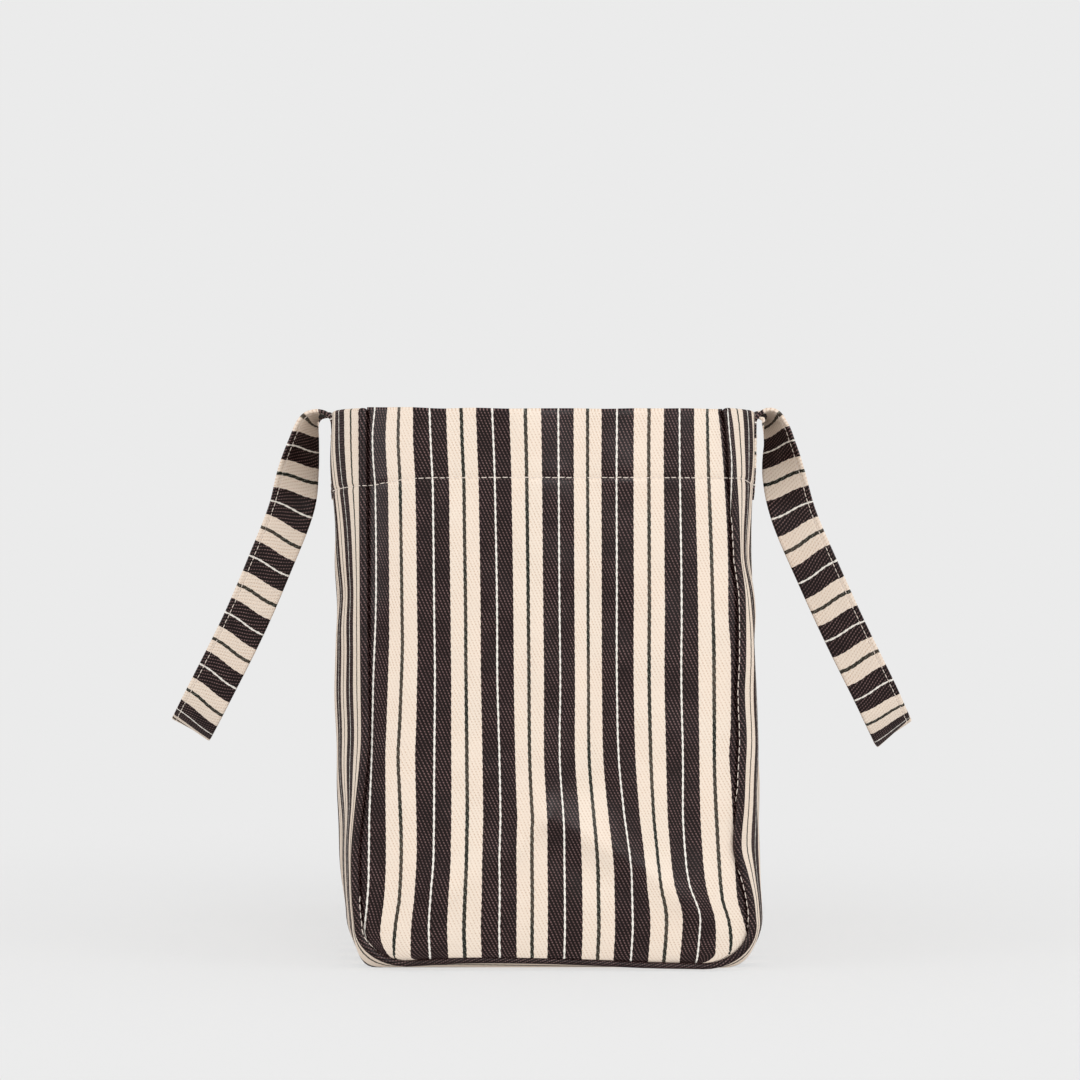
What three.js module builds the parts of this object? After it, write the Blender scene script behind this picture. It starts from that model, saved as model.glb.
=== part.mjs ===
// A striped cloth tote bag, standing open and empty, with its two handles fallen outwards.
// Millimetres, +Z up. The origin is on the floor under the middle of the bag. X runs across the
// bag's narrow width, Y along its length, and the end panel at -Y is the front one.

import * as THREE from 'three';

// Cloth, hem and seams
const CLOTH = 1.4;
const HEM = { depth: 40, cloth: 2.6 };
const GAP = 0.3;

// Radius of the ribs up the sides, and along the bottom, where they are pressed flatter
const RIB = { side: 2.5, bottom: 1.8 };

// The bag: its height, the height of its round bottom corners and how far they reach inwards
const HEIGHT = 321;
const CORNER = { rise: 26, seamReach: 28, wallReach: 23 };

// Each rib's centre lies this far from the middle of the bag, along Y
const SEAM_Y = 189.5;

// Where the rib's centre runs down both seams: distances from the plane x = 0
const FRONT_SEAM = [
  { z: 321, left: 105, right: 102 },
  { z: 312, left: 105, right: 103.6 },
  { z: 302, left: 105, right: 104.6 },
  { z: 291, left: 104.9, right: 105.5 },
  { z: 280, left: 104.9, right: 106 },
  { z: 268, left: 104.8, right: 106.8 },
  { z: 246, left: 104.6, right: 107.7 },
  { z: 234, left: 104.5, right: 108.2 },
  { z: 222, left: 104.4, right: 109.9 },
  { z: 212, left: 104.4, right: 110.9 },
  { z: 177, left: 104.1, right: 111.1 },
  { z: 158, left: 103.9, right: 110.4 },
  { z: 132, left: 103.7, right: 111.5 },
  { z: 115, left: 104.9, right: 110.9 },
  { z: 95, left: 107, right: 110.2 },
  { z: 70, left: 109.2, right: 108.6 },
  { z: 54, left: 109.4, right: 112.6 },
  { z: 40, left: 108.9, right: 115.8 },
  { z: 26, left: 107.6, right: 117.2 },
];
const BACK_SEAM = [
  { z: 321, left: 106.5, right: 105 },
  { z: 190, left: 109.5, right: 107.5 },
  { z: 90, left: 110, right: 109.5 },
  { z: 26, left: 114, right: 113 },
];

// Height of the rib's centre along the bottom edge of each end panel
const FRONT_BASE = [
  { x: -80, z: 4.2 },
  { x: -45, z: 6 },
  { x: -5, z: 5.8 },
  { x: 30, z: 4.6 },
  { x: 55, z: 3.4 },
  { x: 95, z: 2.6 },
];
const BACK_BASE = [
  { x: -90, z: 2.6 },
  { x: 0, z: 3.6 },
  { x: 90, z: 2.6 },
];

// Outside of the two main faces at the middle of their length
const WALL = [
  { z: 321, left: 127, right: 123.8 },
  { z: 290, left: 127.2, right: 123.4 },
  { z: 270, left: 126.9, right: 122.2 },
  { z: 254, left: 126.5, right: 122 },
  { z: 227, left: 126.1, right: 122 },
  { z: 200, left: 125.9, right: 121.8 },
  { z: 185, left: 126, right: 121.8 },
  { z: 150, left: 126.2, right: 122.8 },
  { z: 120, left: 126.1, right: 124.2 },
  { z: 100, left: 125.6, right: 125.4 },
  { z: 70, left: 124.2, right: 125.3 },
  { z: 46, left: 122.6, right: 125.4 },
  { z: 26, left: 121, right: 126 },
];

// The main faces are straight over this half length, then curve in to the seams, by a power that
// depends on the height at the front
const WALL_FLAT = 88;
const FRONT_CURVE = [
  { z: 321, left: 3.9, right: 3.1 },
  { z: 285, left: 3, right: 3 },
  { z: 268, left: 2.4, right: 2.5 },
  { z: 250, left: 1.9, right: 1.9 },
  { z: 230, left: 1.6, right: 1.9 },
  { z: 212, left: 1.4, right: 3.2 },
  { z: 190, left: 1.7, right: 5.5 },
  { z: 170, left: 1.8, right: 6 },
  { z: 130, left: 1.6, right: 5 },
  { z: 100, left: 1.3, right: 3.6 },
  { z: 70, left: 1.25, right: 3.6 },
  { z: 26, left: 1.3, right: 3.6 },
];
const BACK_CURVE = 4;

// The bottom lies flat on the floor up to this distance from each rib
const BASE_TURN = 16;

// Soft upright folds in the main faces. out is positive for a ridge. Each fades towards its foot.
const WALL_FOLDS = [
  { side: -1, y: 0, width: 26, out: -3.2, foot: 60 },
  { side: -1, y: -126, width: 13, out: 0.6, foot: 120 },
  { side: -1, y: 122, width: 16, out: -2.4, foot: 90 },
  { side: 1, y: 4, width: 28, out: -2.8, foot: 40 },
  { side: 1, y: -120, width: 15, out: -0.6, foot: 110 },
  { side: 1, y: 128, width: 14, out: 1.6, foot: 130 },
];

// How far the end panels swell out of the plane of their seams: edge is the part that rises close
// beside the seam, by the power EDGE_POWER, and middle is the part that rises over the whole width
const FRONT_SWELL = [
  { z: 321, edge: 9.5, middle: 11 },
  { z: 250, edge: 9, middle: 9 },
  { z: 180, edge: 7, middle: 6 },
  { z: 110, edge: 4.5, middle: 4 },
  { z: 30, edge: 3.4, middle: 3 },
];
const BACK_SWELL = [
  { z: 321, edge: 8, middle: 13 },
  { z: 200, edge: 6.5, middle: 9 },
  { z: 30, edge: 3.4, middle: 4 },
];
const EDGE_POWER = 5;

// The end panels are flat below the first of these heights, and swell fully above the second
const SWELL_START = { from: 5, to: 41 };

// Creases of the end panels, as short paths of [x, z]. out is positive for a ridge. The front
// panel's first three ridges meet in a point, where the cloth has buckled over its lower edge.
const FRONT_CREASES = [
  {
    path: [[0, 88], [18, 78.5], [38, 67.5], [57.5, 56.5], [68, 48.5], [80, 38], [96, 24]],
    width: 9, out: 2.8,
  },
  { path: [[0, 88], [-17, 70.5], [-27, 66], [-37, 58], [-54, 46]], width: 8, out: 1.6 },
  { path: [[-4, 190], [-2, 132], [0, 88]], width: 9, out: 1.5 },
  { path: [[6, 66], [34, 52], [60, 36], [82, 22]], width: 10, out: -1.4 },
  { path: [[-88, 190], [-92, 120], [-96, 60]], width: 10, out: -1.8 },
  { path: [[22, 210], [24, 150], [30, 110]], width: 16, out: -1.4 },
];
const BACK_CREASES = [
  { path: [[60, 120], [10, 80], [-70, 40]], width: 14, out: -3 },
  { path: [[-30, 210], [-20, 150]], width: 24, out: -2 },
];

// Waves round the open mouth of the end panels, which fade downwards
const FRONT_WAVES = [
  { x: -82, width: 12, out: 1.6 },
  { x: -52, width: 13, out: -1.4 },
  { x: -18, width: 14, out: 1.5 },
  { x: 16, width: 13, out: -1.3 },
  { x: 50, width: 14, out: 1.6 },
  { x: 84, width: 12, out: -1.4 },
];
const BACK_WAVES = [
  { x: -60, width: 20, out: 1.8 },
  { x: 0, width: 22, out: -2 },
  { x: 62, width: 20, out: 1.6 },
];
const WAVE_FADE = 95;

// The handles' strap, and where it is sewn to a main face
const STRAP = { width: 27.5, thickness: 2.4, corner: 0.6 };
const PATCH = { y: 65, foot: 270, top: 313 };

// A handle from the mouth to the bend at its lower end, as far as its front leg goes.
// out: distance from x = 0.  y: distance from the middle.  turn: degrees that the strap's stitched
// edge has turned from facing the front to facing outwards.  back, up: how much further out and
// how much higher the rear leg hangs there.
const LEFT_LEG = [
  { out: 129.4, y: 65, z: 318.4, turn: 0, back: 0, up: 0.4 },
  { out: 132, y: 65, z: 321.4, turn: 0, back: 0.4, up: 1.6 },
  { out: 135.6, y: 65, z: 322.4, turn: 3, back: 1.4, up: 3 },
  { out: 140.4, y: 65, z: 321.2, turn: 9, back: 4, up: 4.4 },
  { out: 144.2, y: 65, z: 317.2, turn: 20, back: 6, up: 4.2 },
  { out: 147.4, y: 64, z: 303.6, turn: 38, back: 7.5, up: 3 },
  { out: 150.4, y: 62.5, z: 288, turn: 58, back: 8.2, up: 1.5 },
  { out: 154.4, y: 61, z: 266, turn: 84, back: 8.6, up: 0 },
  { out: 168.2, y: 55.5, z: 231.4, turn: 90, back: 8.4, up: -1 },
  { out: 183.9, y: 48, z: 196, turn: 92, back: 7.8, up: -2 },
];
const RIGHT_LEG = [
  { out: 125.6, y: 65, z: 318.2, turn: 0, back: 0, up: 0.4 },
  { out: 128.8, y: 65, z: 321.6, turn: 1, back: 0.4, up: 1.6 },
  { out: 133, y: 65, z: 322.8, turn: 6, back: 1.6, up: 3 },
  { out: 136.8, y: 65, z: 320.4, turn: 16, back: 4, up: 4.4 },
  { out: 139.2, y: 64.6, z: 314, turn: 27, back: 6, up: 4 },
  { out: 141.2, y: 64, z: 303.8, turn: 38, back: 7, up: 3 },
  { out: 143.8, y: 62.6, z: 285, turn: 66, back: 7.8, up: 1.5 },
  { out: 149.4, y: 61, z: 262, turn: 88, back: 8.2, up: 0 },
  { out: 165.4, y: 55.5, z: 225, turn: 90, back: 8.2, up: -1 },
  { out: 182.5, y: 47, z: 189, turn: 90, back: 7.6, up: -2 },
];

// The bend at a handle's lower end: its radius, the middle of its circle, its lean from upright,
// and how far the strap twists on from its start to its lowest point
const LEFT_BEND = {
  radius: 36.5, out: 201.4, z: 162.4, lean: 27, turn: 92, twist: 2, back: 6.4, up: -2,
};
const RIGHT_BEND = {
  radius: 33.5, out: 199.2, z: 157.6, lean: 24.5, turn: 92, twist: 12, back: 6.2, up: -2,
};
const BEND_STEPS = [76, 58, 39, 20];

// Heights of the rings of points on the cloth, spaced closer where it curves and at the hem's edge
const HEM_EDGE = HEIGHT - HEM.depth;
const RING_HEIGHTS = [
  HEIGHT, 301, HEM_EDGE + 0.6, HEM_EDGE - 1.6, 267, 250, 220, 190, 160, 132, 110, 92, 76, 62, 50, 38,
  CORNER.rise,
];
const CORNER_STEPS = 5;
const BASE_STEPS = 14;
const SLICE_INSETS = [5, 11, 20, 33, 52, 78, 112, 150];
const LEG_STEPS = 88;

const smooth = (t) => t * t * (3 - 2 * t);
const clamp01 = (t) => Math.min(1, Math.max(0, t));
const mix = (a, b, t) => a + (b - a) * t;
const bell = (distance, width) => Math.exp(-((distance / width) ** 2));
const degrees = (angle) => (angle * Math.PI) / 180;
const ribRadius = (point) => mix(RIB.side, RIB.bottom, point.low);

// A rib's section, by the angle from the way into the bag: where the outside and the inside of the
// main face's cloth leave it, and its corners between them
const RIB_JOINT = degrees(50);
const RIB_INNER_JOINT = degrees(10);
const RIB_ANGLES = [90, 130, 170, 210, 250, 290, 330].map(degrees);

// Reads a column of a table at any value of its key, on a curve through the rows
function readTable(rows, key, column, value) {
  const sorted = [...rows].sort((a, b) => a[key] - b[key]);
  const last = sorted.length - 1;
  if (value <= sorted[0][key]) return sorted[0][column];
  if (value >= sorted[last][key]) return sorted[last][column];
  const i = sorted.findIndex((row) => row[key] > value) - 1;
  const row = (k) => sorted[Math.min(last, Math.max(0, k))];
  const span = row(i + 1)[key] - row(i)[key];
  const t = (value - row(i)[key]) / span;
  const slope = (k) => (row(k + 1)[column] - row(k - 1)[column]) / (row(k + 1)[key] - row(k - 1)[key]);
  const a = row(i)[column];
  const b = row(i + 1)[column];
  return (
    mix(a, b, smooth(t)) +
    span * (slope(i) * t * (1 - t) ** 2 - slope(i + 1) * t * t * (1 - t))
  );
}

// A ring of points in an upright plane: down the left face, round the corner, along the bottom,
// and up the right face. halfWidth(side, z) and base(x) give its shape.
function makeRing(halfWidth, base, reach) {
  const wall = (side) => RING_HEIGHTS.map((z) => ({ x: side * halfWidth(side, z), z, low: 0 }));
  const corner = (side) => {
    const edge = halfWidth(side, CORNER.rise);
    const foot = base(side * (edge - reach));
    const points = [];
    for (let k = 1; k < CORNER_STEPS; k += 1) {
      const angle = degrees((90 * k) / CORNER_STEPS);
      points.push({
        x: side * (edge - reach + reach * Math.cos(angle)),
        z: CORNER.rise - (CORNER.rise - foot) * Math.sin(angle),
        low: smooth(k / CORNER_STEPS),
      });
    }
    return points;
  };
  const from = -(halfWidth(-1, CORNER.rise) - reach);
  const to = halfWidth(1, CORNER.rise) - reach;
  const bottom = [];
  for (let k = 0; k <= BASE_STEPS; k += 1) {
    const x = mix(from, to, k / BASE_STEPS);
    bottom.push({ x, z: base(x), low: 1 });
  }
  const right = [...wall(1), ...corner(1)].reverse();
  return [...wall(-1), ...corner(-1), ...bottom, ...right];
}

// The outward direction of a ring at each of its points
function ringNormals(ring) {
  return ring.map((point, i) => {
    const before = ring[Math.max(0, i - 1)];
    const after = ring[Math.min(ring.length - 1, i + 1)];
    const length = Math.hypot(after.x - before.x, after.z - before.z);
    return { x: (after.z - before.z) / length, z: -(after.x - before.x) / length };
  });
}

const offsetRing = (ring, normals, distance) =>
  ring.map((point, i) => ({
    ...point,
    x: point.x + normals[i].x * distance(point),
    z: point.z + normals[i].z * distance(point),
  }));

const sideColumn = (side) => (side < 0 ? 'left' : 'right');

const seamRing = (seam, base) =>
  makeRing(
    (side, z) => readTable(seam, 'z', sideColumn(side), z),
    (x) => readTable(base, 'x', 'z', x),
    CORNER.seamReach,
  );

const wallHalfWidth = (side, z) => readTable(WALL, 'z', sideColumn(side), z);

const seams = {
  front: seamRing(FRONT_SEAM, FRONT_BASE),
  back: seamRing(BACK_SEAM, BACK_BASE),
};
const middleRing = makeRing(wallHalfWidth, () => 0, CORNER.wallReach);
const middleNormals = ringNormals(middleRing);

// Distance that the folds push a main face outwards
function wallFold(side, y, z) {
  return WALL_FOLDS.filter((fold) => fold.side === side).reduce((sum, fold) => {
    const fade = smooth(clamp01((z - fold.foot) / (HEIGHT - fold.foot)));
    return sum + fold.out * fade * bell(y - fold.y, fold.width);
  }, 0);
}

// The outside of the body strip in the plane y: from the seam's ring it swells to the middle's ring
function outerRing(y) {
  const seam = y < 0 ? seams.front : seams.back;
  const ribFoot = (point) => ribRadius(point) * Math.sin(RIB_JOINT);
  const foot = offsetRing(seam, ringNormals(seam), ribFoot);
  const jointY = SEAM_Y - RIB.side * Math.cos(RIB_JOINT);
  const pastFlat = clamp01((Math.abs(y) - WALL_FLAT) / (jointY - WALL_FLAT));
  const baseShare = smooth(clamp01((jointY - Math.abs(y)) / BASE_TURN));
  return middleRing.map((point, i) => {
    const curve = readTable(FRONT_CURVE, 'z', sideColumn(point.x), point.z);
    const wallShare = 1 - pastFlat ** (y < 0 ? curve : BACK_CURVE);
    const share = mix(wallShare, baseShare, point.low);
    const fold = point.low === 0 ? wallFold(Math.sign(point.x), y, point.z) * wallShare : 0;
    return {
      x: mix(foot[i].x, point.x, share) + Math.sign(point.x) * fold,
      z: mix(foot[i].z, point.z, share),
      low: point.low,
    };
  });
}

// Turns a list of points and faces into one named mesh
function makeMesh(name, points, faces, material) {
  const geometry = new THREE.BufferGeometry();
  geometry.setAttribute('position', new THREE.Float32BufferAttribute(points.flat(), 3));
  geometry.setIndex(faces.flat());
  geometry.computeVertexNormals();
  const mesh = new THREE.Mesh(geometry, material);
  mesh.name = name;
  return mesh;
}

// Joins equal closed sections into a tube and closes both ends. outline is the flat section that
// the end faces are cut from.
function loftSections(sections, outline) {
  const size = outline.length;
  const faces = [];
  for (let i = 0; i + 1 < sections.length; i += 1) {
    for (let k = 0; k < size; k += 1) {
      const next = (k + 1) % size;
      const [a, b, c, d] = [i * size + k, i * size + next, (i + 1) * size + next, (i + 1) * size + k];
      faces.push([a, b, c], [a, c, d]);
    }
  }
  const end = (sections.length - 1) * size;
  const clockwise = THREE.ShapeUtils.isClockWise(outline);
  for (const triangle of THREE.ShapeUtils.triangulateShape(outline, [])) {
    const [a, b, c] = clockwise ? [...triangle].reverse() : triangle;
    faces.push([a, c, b], [end + a, end + b, end + c]);
  }
  return { points: sections.flat(), faces };
}

// Reverses the faces of a closed body that was wound inside out
function faceOutwards({ points, faces }) {
  let volume = 0;
  for (const [a, b, c] of faces) {
    const [p, q, r] = [points[a], points[b], points[c]].map((point) => new THREE.Vector3(...point));
    volume += p.dot(q.cross(r)) / 6;
  }
  return { points, faces: volume > 0 ? faces : faces.map(([a, b, c]) => [a, c, b]) };
}

const clothAt = (z) => (z > HEM_EDGE ? HEM.cloth : CLOTH);

// The body strip: left face, bottom and right face in one, with a rib along both long edges
function makeBodyStrip(material) {
  const insets = SLICE_INSETS.map((inset) => SEAM_Y - inset);
  const slices = [...insets.map((y) => -y), 0, ...[...insets].reverse()];
  const rings = slices.map((y) => {
    const outer = outerRing(y);
    const normals = ringNormals(outer);
    const inner = outer.map((point, i) => ({
      x: point.x - normals[i].x * clothAt(point.z),
      z: point.z - normals[i].z * clothAt(point.z),
    }));
    return { y, outer, inner };
  });
  const rib = (side, i, angle) => {
    const seam = side < 0 ? seams.front : seams.back;
    const normal = ringNormals(seam)[i];
    const radius = ribRadius(seam[i]);
    const out = radius * Math.sin(angle);
    return [
      seam[i].x + normal.x * out,
      side * (SEAM_Y - radius * Math.cos(angle)),
      seam[i].z + normal.z * out,
    ];
  };
  const ribAngles = [RIB_JOINT, ...RIB_ANGLES, RIB_INNER_JOINT];
  const sections = middleRing.map((_, i) => {
    const outer = rings.map((ring) => [ring.outer[i].x, ring.y, ring.outer[i].z]);
    const inner = rings.map((ring) => [ring.inner[i].x, ring.y, ring.inner[i].z]);
    const backRib = ribAngles.map((angle) => rib(1, i, angle));
    const frontRib = ribAngles.map((angle) => rib(-1, i, angle));
    return [...outer, ...backRib, ...inner.reverse(), ...frontRib.reverse()];
  });
  const outline = sections[0].map(([x, y]) => new THREE.Vector2(x, y));
  const { points, faces } = faceOutwards(loftSections(sections, outline));
  return makeMesh('body_strip', points, faces, material);
}

// Distance from a point to a short path
function distanceToPath(path, x, z) {
  let nearest = Infinity;
  for (let i = 0; i + 1 < path.length; i += 1) {
    const [ax, az] = path[i];
    const [bx, bz] = path[i + 1];
    const ahead = (x - ax) * (bx - ax) + (z - az) * (bz - az);
    const t = clamp01(ahead / ((bx - ax) ** 2 + (bz - az) ** 2));
    nearest = Math.min(nearest, Math.hypot(x - mix(ax, bx, t), z - mix(az, bz, t)));
  }
  return nearest;
}

// How far an end panel stands out from the plane of its edge. across runs from 0 to 1.
function panelRelief(design, across, x, z) {
  const side = Math.abs(2 * across - 1);
  const low = clamp01((z - SWELL_START.from) / (SWELL_START.to - SWELL_START.from));
  const creases = design.creases.reduce(
    (sum, crease) => sum + crease.out * bell(distanceToPath(crease.path, x, z), crease.width),
    0,
  );
  const fade = smooth(clamp01((z - HEIGHT + WAVE_FADE) / WAVE_FADE));
  const waves = design.waves.reduce((sum, wave) => sum + wave.out * bell(x - wave.x, wave.width), 0);
  const rim = 1 - side ** EDGE_POWER;
  const edge = readTable(design.swell, 'z', 'edge', z);
  const middle = readTable(design.swell, 'z', 'middle', z) * (1 - side ** 2);
  return Math.max(0, Math.sqrt(low) * (rim * (edge + creases + fade * waves) + middle));
}

// An end panel: its edge follows the seam just inside the rib. Where it leans out it loses height.
function makeEndPanel(design, material) {
  const seam = seams[design.end];
  const edge = offsetRing(seam, ringNormals(seam), (point) => -(ribRadius(point) + GAP));
  const sideCount = RING_HEIGHTS.length + CORNER_STEPS - 1;
  const columns = BASE_STEPS * design.fineness;
  const edgePlane = SEAM_Y - GAP;
  const lowerEdge = (across) => {
    const place = across * BASE_STEPS;
    const k = Math.min(BASE_STEPS - 1, Math.floor(place));
    const a = edge[sideCount + k];
    const b = edge[sideCount + k + 1];
    return { x: mix(a.x, b.x, place - k), z: mix(a.z, b.z, place - k) };
  };
  // How far the lower edge rises over a straight line between its ends. The rows beside the round
  // corners share in it.
  const rise = (across) => lowerEdge(across).z - mix(lowerEdge(0).z, lowerEdge(1).z, across);
  const grid = [];
  for (let row = 0; row <= sideCount; row += 1) {
    const line = [];
    for (let column = 0; column <= columns; column += 1) {
      const across = column / columns;
      let { x, z } = lowerEdge(across);
      if (row < sideCount) {
        const left = edge[row];
        const right = edge[edge.length - 1 - row];
        x = mix(left.x, right.x, across);
        z = mix(left.z, right.z, across) + left.low * rise(across);
      }
      const onEdge = column === 0 || column === columns || row === sideCount;
      const relief = onEdge ? 0 : panelRelief(design, across, x, z);
      line.push({ x, z: z - relief ** 2 / (2 * z), out: edgePlane + relief });
    }
    grid.push(line);
  }
  const side = design.end === 'front' ? -1 : 1;
  const count = columns + 1;
  const layer = (depth) =>
    grid.flat().map(({ x, z, out }) => [x, side * (out - depth(z)), z]);
  const points = [...layer(() => 0), ...layer(clothAt)];
  const back = grid.length * count;
  const faces = [];
  const quad = (a, b, c, d) => faces.push([a, b, c], [a, c, d]);
  for (let row = 0; row + 1 < grid.length; row += 1) {
    for (let column = 0; column < columns; column += 1) {
      const a = row * count + column;
      quad(a, a + count, a + count + 1, a + 1);
      quad(back + a, back + a + 1, back + a + count + 1, back + a + count);
    }
    const left = row * count;
    const right = left + columns;
    quad(left, back + left, back + left + count, left + count);
    quad(right, right + count, back + right + count, back + right);
  }
  for (let column = 0; column < columns; column += 1) {
    const low = (grid.length - 1) * count + column;
    quad(column, column + 1, back + column + 1, back + column);
    quad(low, back + low, back + low + 1, low + 1);
  }
  const body = faceOutwards({ points, faces });
  return makeMesh(design.name, body.points, body.faces, material);
}

// The rows of one handle, from the foot of its front patch round to the foot of its rear one.
// Every row of the rear leg is shifted by back and up, and the bend shares that shift out.
function handleRows(side, leg, bend) {
  const seat = (z) => wallHalfWidth(side, z) + GAP + STRAP.thickness / 2;
  const patch = [PATCH.foot, mix(PATCH.foot, PATCH.top, 0.5), PATCH.top].map((z) => ({
    out: seat(z), y: PATCH.y, z, turn: 0, back: 0, up: 0,
  }));
  const bendRow = (step) => {
    const along = bend.radius * Math.cos(degrees(step));
    return {
      ...bend,
      turn: bend.turn + bend.twist * (1 - step / 90),
      out: bend.out + along * Math.sin(degrees(bend.lean)),
      y: bend.radius * Math.sin(degrees(step)),
      z: bend.z - along * Math.cos(degrees(bend.lean)),
      step,
    };
  };
  const half = [...patch, ...leg, ...BEND_STEPS.map(bendRow)];
  const place = (end) => (row) => {
    const share = smooth(clamp01(0.5 + (end * (row.step ?? 90)) / 180));
    const out = side * (row.out + row.back * share);
    return { point: new THREE.Vector3(out, end * row.y, row.z + row.up * share), turn: row.turn };
  };
  return [...half.map(place(-1)), place(1)(bendRow(0)), ...half.map(place(1)).reverse()];
}

// The strap's section, a flat bar with its corners taken off: along its width and its thickness
function strapSection() {
  const w = STRAP.width / 2;
  const t = STRAP.thickness / 2;
  const c = STRAP.corner;
  const top = [[w, t - c], [w - c, t], [-(w - c), t], [-w, t - c]];
  const under = top.map(([across, thick]) => [across, -thick]).reverse();
  return [...top, ...under];
}

// A handle: the strap's section carried along the curve through its rows. fall is the way down
// the leg as the front sees it, over is square to it and points up and outwards, and ahead is
// square to both the strap's run and over.
function makeHandle(name, side, leg, bend, material) {
  const rows = handleRows(side, leg, bend);
  const curve = new THREE.CatmullRomCurve3(rows.map((row) => row.point), false, 'centripetal');
  const lean = degrees(bend.lean);
  const outline = strapSection();
  const sections = [];
  for (let i = 0; i <= LEG_STEPS; i += 1) {
    const t = i / LEG_STEPS;
    const along = t * (rows.length - 1);
    const k = Math.min(rows.length - 2, Math.floor(along));
    const turn = degrees(mix(rows[k].turn, rows[k + 1].turn, along - k));
    const centre = curve.getPoint(t);
    const run = curve.getTangent(t);
    const way = t < 0.5 ? 1 : -1;
    const fall = new THREE.Vector3(side * Math.sin(lean), 0, -Math.cos(lean));
    fall.multiplyScalar(Math.abs(run.y)).add(new THREE.Vector3(way * run.x, 0, way * run.z));
    const over = new THREE.Vector3(-fall.z, 0, fall.x).multiplyScalar(side);
    over.addScaledVector(run, -over.dot(run)).normalize();
    const ahead = new THREE.Vector3().crossVectors(run, over).multiplyScalar(side);
    const wide = ahead.multiplyScalar(Math.cos(turn)).addScaledVector(over, Math.sin(turn));
    const thick = new THREE.Vector3().crossVectors(run, wide);
    const corner = ([w, h]) => centre.clone().addScaledVector(wide, w).addScaledVector(thick, h);
    sections.push(outline.map((place) => corner(place).toArray()));
  }
  const flat = outline.map(([w, h]) => new THREE.Vector2(w, h));
  const { points, faces } = faceOutwards(loftSections(sections, flat));
  return makeMesh(name, points, faces, material);
}

// The mean colour of the black and cream stripes
const CLOTH_COLOUR = 0x8c8178;
const cloth = () =>
  new THREE.MeshStandardMaterial({
    name: 'striped_cloth', color: CLOTH_COLOUR, roughness: 0.75, metalness: 0,
  });

const bag = new THREE.Group();
bag.name = 'tote_bag';
bag.add(
  makeBodyStrip(cloth()),
  makeEndPanel(
    {
      name: 'end_panel_front', end: 'front', fineness: 2,
      swell: FRONT_SWELL, creases: FRONT_CREASES, waves: FRONT_WAVES,
    },
    cloth(),
  ),
  makeEndPanel(
    {
      name: 'end_panel_back', end: 'back', fineness: 1,
      swell: BACK_SWELL, creases: BACK_CREASES, waves: BACK_WAVES,
    },
    cloth(),
  ),
  makeHandle('handle_left', -1, LEFT_LEG, LEFT_BEND, cloth()),
  makeHandle('handle_right', 1, RIGHT_LEG, RIGHT_BEND, cloth()),
);

export default bag;
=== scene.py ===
# A striped cloth tote bag, standing open and empty, with its two handles fallen outwards.
# The tables hold millimetres, heights are above the floor, and x and y are measured from the middle
# of the bag. The end panel at -Y is the front one. Meshes are made in metres.

import math

import bmesh
import bpy
import numpy as np
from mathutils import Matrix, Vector


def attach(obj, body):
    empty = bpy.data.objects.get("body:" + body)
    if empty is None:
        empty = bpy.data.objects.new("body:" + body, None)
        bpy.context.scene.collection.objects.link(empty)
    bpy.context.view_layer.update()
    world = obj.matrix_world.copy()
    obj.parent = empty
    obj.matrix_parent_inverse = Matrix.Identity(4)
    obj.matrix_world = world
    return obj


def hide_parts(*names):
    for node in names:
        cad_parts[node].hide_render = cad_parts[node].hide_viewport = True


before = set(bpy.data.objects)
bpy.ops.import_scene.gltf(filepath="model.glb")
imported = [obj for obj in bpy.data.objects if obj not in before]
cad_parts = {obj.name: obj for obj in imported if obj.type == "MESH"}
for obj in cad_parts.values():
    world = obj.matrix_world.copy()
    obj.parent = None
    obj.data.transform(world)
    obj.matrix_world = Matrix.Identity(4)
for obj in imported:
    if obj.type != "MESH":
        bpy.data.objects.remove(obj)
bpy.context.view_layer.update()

MM = 0.001


def table(columns, *rows):
    """Rows of numbers, kept as one array for each named column."""
    return dict(zip(columns.split(), np.array(rows, float).T))


# Thickness of the cloth and of its double hem, and the hem's depth
CLOTH = 1.4
HEM_CLOTH = 2.6
HEM_DEPTH = 40

# How far sewn pieces lie apart, and how far an end panel's edge is tucked into its rib
GAP = 0.3
TUCK = 0.1

# Radius of the ribs up the sides, and along the bottom, where they are pressed flatter
RIB_RADIUS = 2.5
BASE_RIB_RADIUS = 1.8

# The bag: its height, the height of its round bottom corners, how far they reach inwards at the
# seams and at the middle, and how far each seam lies from the middle
HEIGHT = 321
CORNER_RISE = 26
SEAM_REACH = 28
WALL_REACH = 23
SEAM_Y = 189.5

# How far the hem's edge lies below HEM_EDGE: near the front panel's left seam, over this width, and
# on the two main faces, less so over the first HEM_DIP_TURN from their front end
HEM_EDGE = HEIGHT - HEM_DEPTH
PANEL_HEM_DIP = dict(depth=4.5, x=-106, width=20)
STRIP_HEM_DIP = {-1: dict(front=4.5, rest=6.5), 1: dict(front=0, rest=4.5)}
HEM_DIP_TURN = 70

# Where the cloth grows double: from this far below the hem's edge, over this height. The groove
# that the hem's stitches pull into the outside.
HEM_STEP = dict(below=1.4, height=1.8)
HEM_GROOVE = dict(depth=0.45, width=1.5)

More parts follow.
